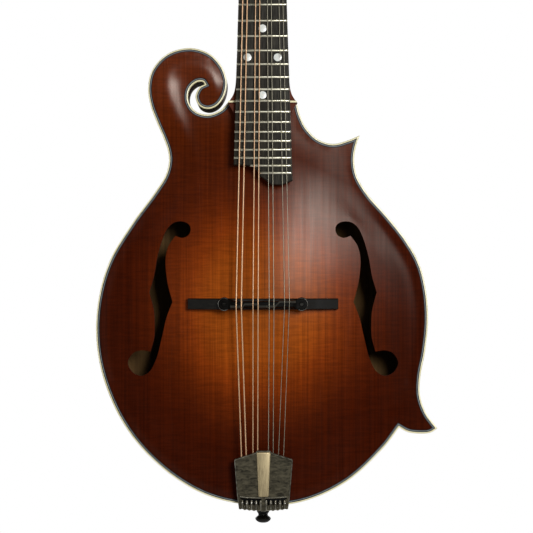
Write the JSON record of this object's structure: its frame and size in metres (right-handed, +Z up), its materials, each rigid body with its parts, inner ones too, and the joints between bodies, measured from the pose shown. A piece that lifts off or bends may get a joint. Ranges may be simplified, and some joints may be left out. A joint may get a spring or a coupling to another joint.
{
  "type": "mandolin",
  "caption": "F-style mandolin with a carved f-hole body, scroll and points, bolt-free set neck, adjustable bridge, cast tailpiece and geared tuners.",
  "frame": {"origin": "centre of the end pin's flat outer face", "axes": "+Z up the instrument from the end pin to the headstock, the front (strings) faces -Y, +X towards the treble side; the rim's two edges are at Y = -22 mm and Y = +22 mm"},
  "size_m": [0.2597, 0.1094, 0.6785],
  "materials": {
    "spruce_top": "satin sunburst lacquer over vertical spruce grain",
    "stained_maple": "satin brown lacquer over maple",
    "raw_wood": "bare",
    "ebony": "oiled",
    "ivoroid": "satin",
    "purfling": "black, grey and black lines",
    "cast_pewter": "antiqued, streaky",
    "champagne_metal": "brushed",
    "nickel": "satin nickel",
    "steel": "plain",
    "bronze_string": "wound",
    "pearl_button": "pearly",
    "bone": "polished"
  },
  "bodies": {
    "root": {"top_plate": "spruce_top", "back_plate": "stained_maple", "bass_rib": "stained_maple", "treble_rib": "stained_maple", "neck": "stained_maple", "fingerboard_riser": "stained_maple", "head_block": "raw_wood", "tail_block": "raw_wood", "lower_point_block": "raw_wood", "upper_point_block": "raw_wood", "lining_bass_top": "raw_wood", "lining_bass_back": "raw_wood", "lining_treble_top": "raw_wood", "lining_treble_back": "raw_wood", "bass_tone_bar": "raw_wood", "treble_tone_bar": "raw_wood", "fingerboard": "ebony", "headstock_face": "ebony", "truss_rod_cover": "ebony", "bridge_base": "ebony", "end_pin": "ebony", "top_binding": "ivoroid", "back_binding": "ivoroid", "top_purfling": "purfling", "tailpiece": "cast_pewter", "tailpiece_inlay": "champagne_metal", "tuner_plate_bass": "nickel", "tuner_plate_treble": "nickel", "truss_rod": "steel", "bridge_post_bass": "steel", "bridge_post_treble": "steel", "string_a1": "steel", "string_a2": "steel", "string_e1": "steel", "string_e2": "steel", "string_g1": "bronze_string", "string_g2": "bronze_string", "string_d1": "bronze_string", "string_d2": "bronze_string", "nut": "bone"},
    "bridge_saddle": {"bridge_saddle": "ebony"},
    "thumbwheel_bass": {"thumbwheel_bass": "nickel"},
    "thumbwheel_treble": {"thumbwheel_treble": "nickel"},
    "truss_rod_nut": {"truss_rod_nut": "nickel"},
    "tuner_post_bass_1": {"tuner_post_bass_1": "nickel"},
    "tuner_post_bass_2": {"tuner_post_bass_2": "nickel"},
    "tuner_post_bass_3": {"tuner_post_bass_3": "nickel"},
    "tuner_post_bass_4": {"tuner_post_bass_4": "nickel"},
    "tuner_post_treble_1": {"tuner_post_treble_1": "nickel"},
    "tuner_post_treble_2": {"tuner_post_treble_2": "nickel"},
    "tuner_post_treble_3": {"tuner_post_treble_3": "nickel"},
    "tuner_post_treble_4": {"tuner_post_treble_4": "nickel"},
    "tuner_knob_bass_1": {"tuner_knob_bass_1": "pearl_button"},
    "tuner_knob_bass_2": {"tuner_knob_bass_2": "pearl_button"},
    "tuner_knob_bass_3": {"tuner_knob_bass_3": "pearl_button"},
    "tuner_knob_bass_4": {"tuner_knob_bass_4": "pearl_button"},
    "tuner_knob_treble_1": {"tuner_knob_treble_1": "pearl_button"},
    "tuner_knob_treble_2": {"tuner_knob_treble_2": "pearl_button"},
    "tuner_knob_treble_3": {"tuner_knob_treble_3": "pearl_button"},
    "tuner_knob_treble_4": {"tuner_knob_treble_4": "pearl_button"}
  },
  "joints": [
    {"name": "saddle_lift", "type": "slide", "parent": "root", "child": "bridge_saddle", "axis": [0, -1, 0], "range_m": [-0.001, 0.0018], "deforming": ["string_g1", "string_g2", "string_d1", "string_d2", "string_a1", "string_a2", "string_e1", "string_e2"]},
    {"name": "thumbwheel_bass_turn", "type": "hinge", "parent": "bridge_saddle", "child": "thumbwheel_bass", "pos_m": [-0.029, -0.0466, 0.169], "axis": [0, -1, 0], "range_deg": [-530, 940]},
    {"name": "thumbwheel_treble_turn", "type": "hinge", "parent": "bridge_saddle", "child": "thumbwheel_treble", "pos_m": [0.029, -0.0466, 0.169], "axis": [0, -1, 0], "range_deg": [-530, 940]},
    {"name": "truss_rod_nut_turn", "type": "hinge", "parent": "root", "child": "truss_rod_nut", "pos_m": [-0.0003, -0.00496, 0.53805], "axis": [0, 0.0958, 0.9954], "range_deg": [-180, 180]},
    {"name": "tuner_knob_bass_1_turn", "type": "hinge", "parent": "root", "child": "tuner_knob_bass_1", "pos_m": [-0.0493, 0.02026, 0.5666], "axis": [-1, 0, 0], "continuous": true},
    {"name": "tuner_post_bass_1_turn", "type": "hinge", "parent": "root", "child": "tuner_post_bass_1", "pos_m": [-0.0158, -0.00032, 0.56541], "axis": [0, -0.9426, 0.3338], "continuous": true},
    {"name": "tuner_knob_bass_2_turn", "type": "hinge", "parent": "root", "child": "tuner_knob_bass_2", "pos_m": [-0.0493, 0.02794, 0.58829], "axis": [-1, 0, 0], "continuous": true},
    {"name": "tuner_post_bass_2_turn", "type": "hinge", "parent": "root", "child": "tuner_post_bass_2", "pos_m": [-0.0158, 0.00735, 0.58709], "axis": [0, -0.9426, 0.3338], "continuous": true},
    {"name": "tuner_knob_bass_3_turn", "type": "hinge", "parent": "root", "child": "tuner_knob_bass_3", "pos_m": [-0.0493, 0.03561, 0.60997], "axis": [-1, 0, 0], "continuous": true},
    {"name": "tuner_post_bass_3_turn", "type": "hinge", "parent": "root", "child": "tuner_post_bass_3", "pos_m": [-0.0158, 0.01503, 0.60877], "axis": [0, -0.9426, 0.3338], "continuous": true},
    {"name": "tuner_knob_bass_4_turn", "type": "hinge", "parent": "root", "child": "tuner_knob_bass_4", "pos_m": [-0.0493, 0.04329, 0.63165], "axis": [-1, 0, 0], "continuous": true},
    {"name": "tuner_post_bass_4_turn", "type": "hinge", "parent": "root", "child": "tuner_post_bass_4", "pos_m": [-0.0158, 0.02271, 0.63045], "axis": [0, -0.9426, 0.3338], "continuous": true},
    {"name": "tuner_knob_treble_1_turn", "type": "hinge", "parent": "root", "child": "tuner_knob_treble_1", "pos_m": [0.0487, 0.02026, 0.5666], "axis": [1, 0, 0], "continuous": true},
    {"name": "tuner_post_treble_1_turn", "type": "hinge", "parent": "root", "child": "tuner_post_treble_1", "pos_m": [0.0152, -0.00032, 0.56541], "axis": [0, -0.9426, 0.3338], "continuous": true},
    {"name": "tuner_knob_treble_2_turn", "type": "hinge", "parent": "root", "child": "tuner_knob_treble_2", "pos_m": [0.0487, 0.02794, 0.58829], "axis": [1, 0, 0], "continuous": true},
    {"name": "tuner_post_treble_2_turn", "type": "hinge", "parent": "root", "child": "tuner_post_treble_2", "pos_m": [0.0152, 0.00735, 0.58709], "axis": [0, -0.9426, 0.3338], "continuous": true},
    {"name": "tuner_knob_treble_3_turn", "type": "hinge", "parent": "root", "child": "tuner_knob_treble_3", "pos_m": [0.0487, 0.03561, 0.60997], "axis": [1, 0, 0], "continuous": true},
    {"name": "tuner_post_treble_3_turn", "type": "hinge", "parent": "root", "child": "tuner_post_treble_3", "pos_m": [0.0152, 0.01503, 0.60877], "axis": [0, -0.9426, 0.3338], "continuous": true},
    {"name": "tuner_knob_treble_4_turn", "type": "hinge", "parent": "root", "child": "tuner_knob_treble_4", "pos_m": [0.0487, 0.04329, 0.63165], "axis": [1, 0, 0], "continuous": true},
    {"name": "tuner_post_treble_4_turn", "type": "hinge", "parent": "root", "child": "tuner_post_treble_4", "pos_m": [0.0152, 0.02271, 0.63045], "axis": [0, -0.9426, 0.3338], "continuous": true}
  ],
  "couplings": [
    {"joint": "thumbwheel_bass_turn", "follows": "saddle_lift", "rad_per_m": 8976},
    {"joint": "thumbwheel_treble_turn", "follows": "saddle_lift", "rad_per_m": 8976},
    {"joint": "tuner_post_bass_1_turn", "follows": "tuner_knob_bass_1_turn", "ratio": 0.0625},
    {"joint": "tuner_post_bass_2_turn", "follows": "tuner_knob_bass_2_turn", "ratio": 0.0625},
    {"joint": "tuner_post_bass_3_turn", "follows": "tuner_knob_bass_3_turn", "ratio": 0.0625},
    {"joint": "tuner_post_bass_4_turn", "follows": "tuner_knob_bass_4_turn", "ratio": 0.0625},
    {"joint": "tuner_post_treble_1_turn", "follows": "tuner_knob_treble_1_turn", "ratio": -0.0625},
    {"joint": "tuner_post_treble_2_turn", "follows": "tuner_knob_treble_2_turn", "ratio": -0.0625},
    {"joint": "tuner_post_treble_3_turn", "follows": "tuner_knob_treble_3_turn", "ratio": -0.0625},
    {"joint": "tuner_post_treble_4_turn", "follows": "tuner_knob_treble_4_turn", "ratio": -0.0625}
  ]
}
